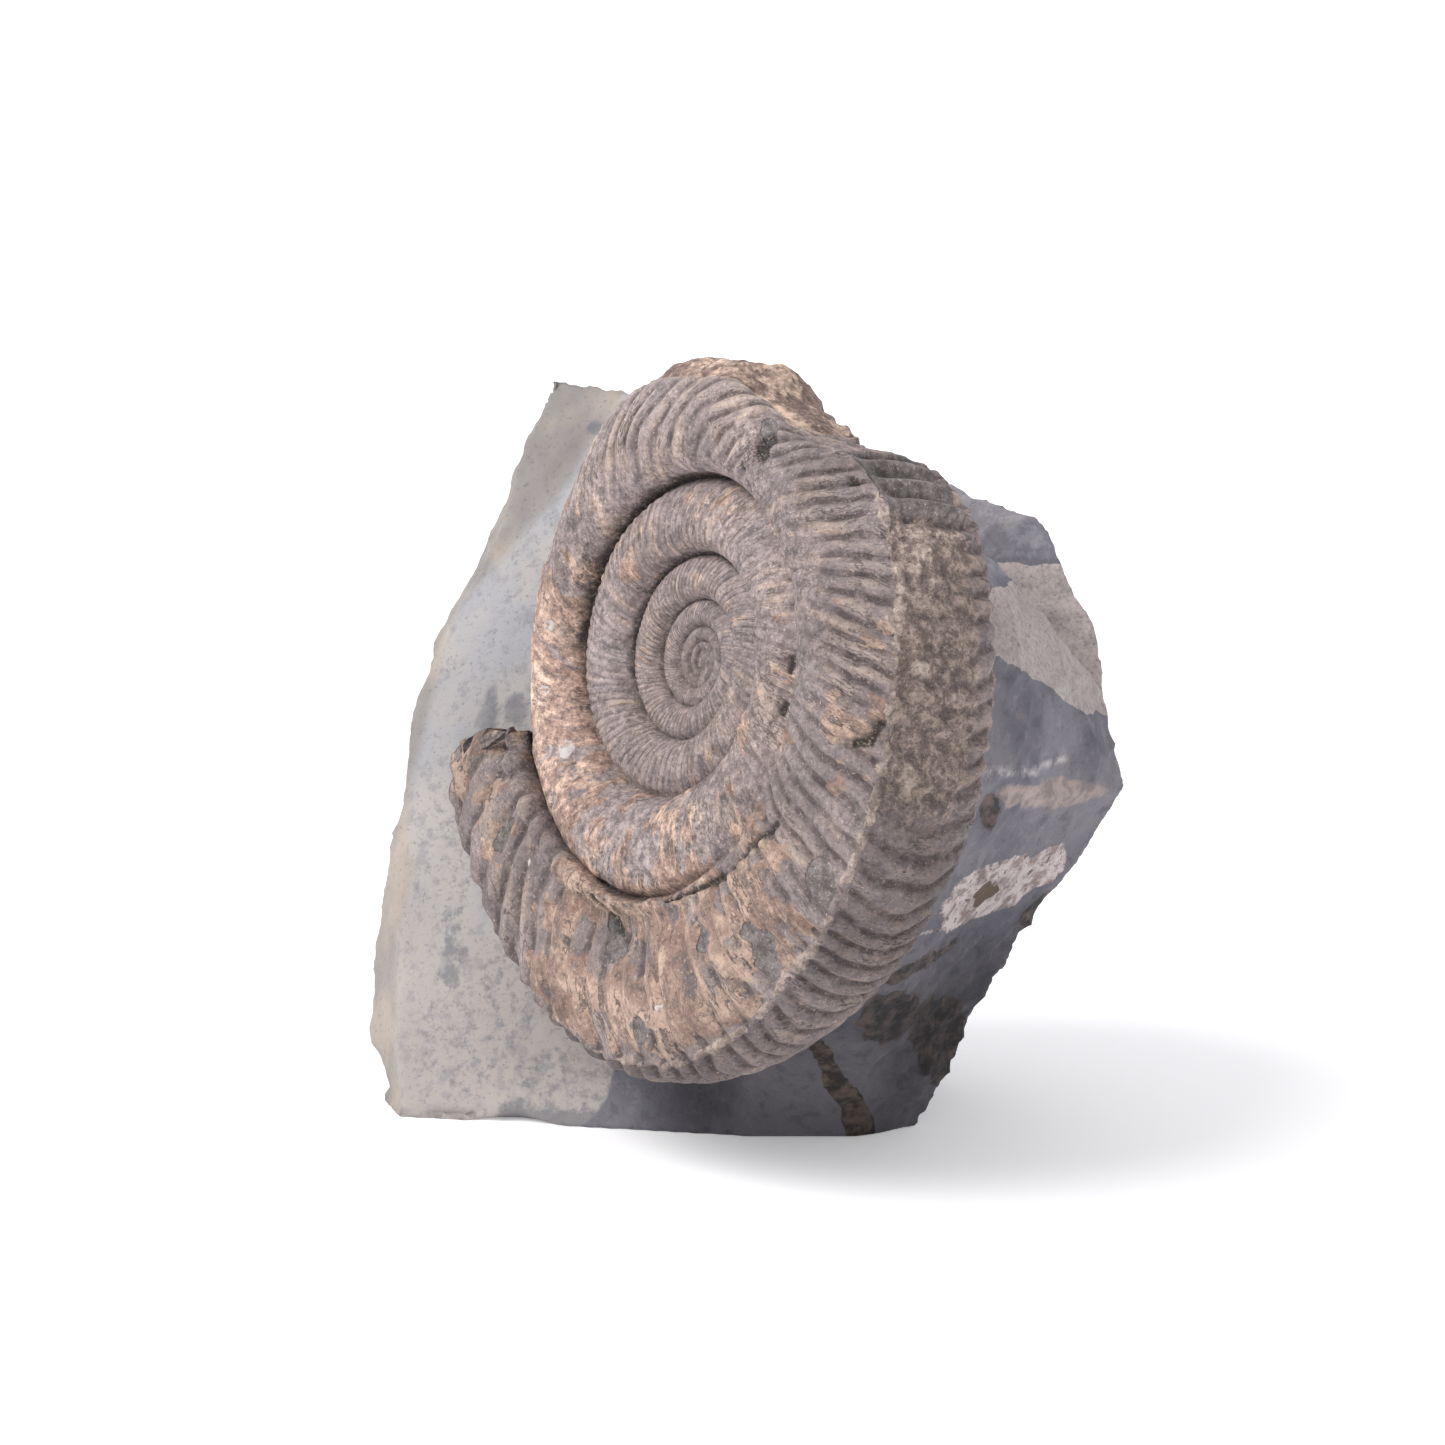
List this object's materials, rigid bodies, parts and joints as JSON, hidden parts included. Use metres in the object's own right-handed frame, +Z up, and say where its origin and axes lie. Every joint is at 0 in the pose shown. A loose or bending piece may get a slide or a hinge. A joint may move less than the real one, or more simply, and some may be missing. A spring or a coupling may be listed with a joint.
{
  "type": "ammonite fossil in matrix",
  "caption": "Coiled, ribbed ammonite standing proud of a broken piece of grey mudstone, which rests upright on its flat sawn foot.",
  "frame": {"origin": "middle of the outline in plan, at the level of the flat foot", "axes": "+Z up, the front of the display piece faces -Y, and +X is to the viewer's right"},
  "size_m": [0.088, 0.0988, 0.09],
  "materials": {
    "fossil_stone": "dull brown stone with ochre stains and a little sparkle",
    "mudstone": "dull grey mudstone, paler where it is weathered"
  },
  "bodies": {
    "root": {"ammonite": "fossil_stone", "matrix_rock": "mudstone"}
  },
  "joints": []
}
